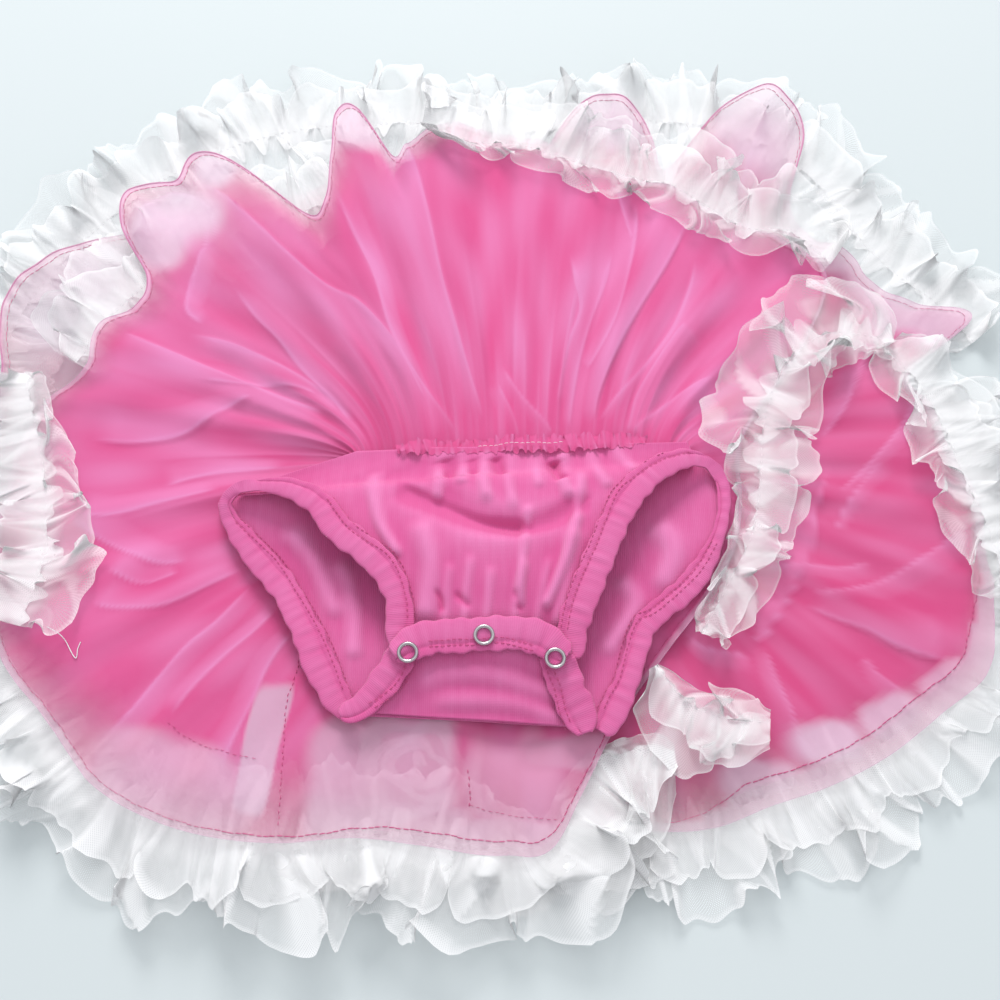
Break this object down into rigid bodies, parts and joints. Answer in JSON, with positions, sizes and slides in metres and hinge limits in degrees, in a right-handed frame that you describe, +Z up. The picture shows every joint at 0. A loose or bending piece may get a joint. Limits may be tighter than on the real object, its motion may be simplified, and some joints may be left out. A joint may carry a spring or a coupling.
{
  "type": "ballet tutu",
  "caption": "Baby's ballet tutu bodysuit lying flat, front skirt folded up: knitted snap brief on two chiffon skirts edged with net ruffles.",
  "frame": {"origin": "middle of the whole outline, on the surface that the garment lies on", "axes": "+Z up from that surface, +Y from the brief towards the bodice, +X towards the picture's right with the brief nearest"},
  "size_m": [0.5488, 0.4532, 0.0334],
  "materials": {
    "chiffon_pink": "sheer crisp chiffon with a soft sheen",
    "knit_pink": "matt ribbed cotton knit",
    "net_white": "soft white net",
    "snap_metal": "satin nickel ring snap"
  },
  "bodies": {
    "root": {"bodice_back": "knit_pink", "bodice_front": "knit_pink", "rosette": "net_white", "ruffle_outer_back": "net_white", "ruffle_outer_front": "net_white", "skirt_outer_back": "chiffon_pink", "skirt_outer_front": "chiffon_pink", "ruffle_inner_back": "net_white", "ruffle_inner_front_left": "net_white", "skirt_inner_back": "chiffon_pink", "skirt_inner_front": "chiffon_pink", "ruffle_inner_front_right": "net_white", "ruffle_inner_left": "net_white", "ruffle_outer_side": "net_white", "brief_back": "knit_pink", "brief_front": "knit_pink", "leg_band_left": "knit_pink", "leg_band_right": "knit_pink", "crotch_flap": "knit_pink", "flap_band_left": "knit_pink", "flap_band_right": "knit_pink", "snap_placket": "knit_pink", "waist_frill": "chiffon_pink", "ruffle_inner_side": "net_white", "ruffle_inner_tail": "net_white", "snap_1": "snap_metal", "snap_2": "snap_metal", "snap_3": "snap_metal"}
  },
  "joints": []
}
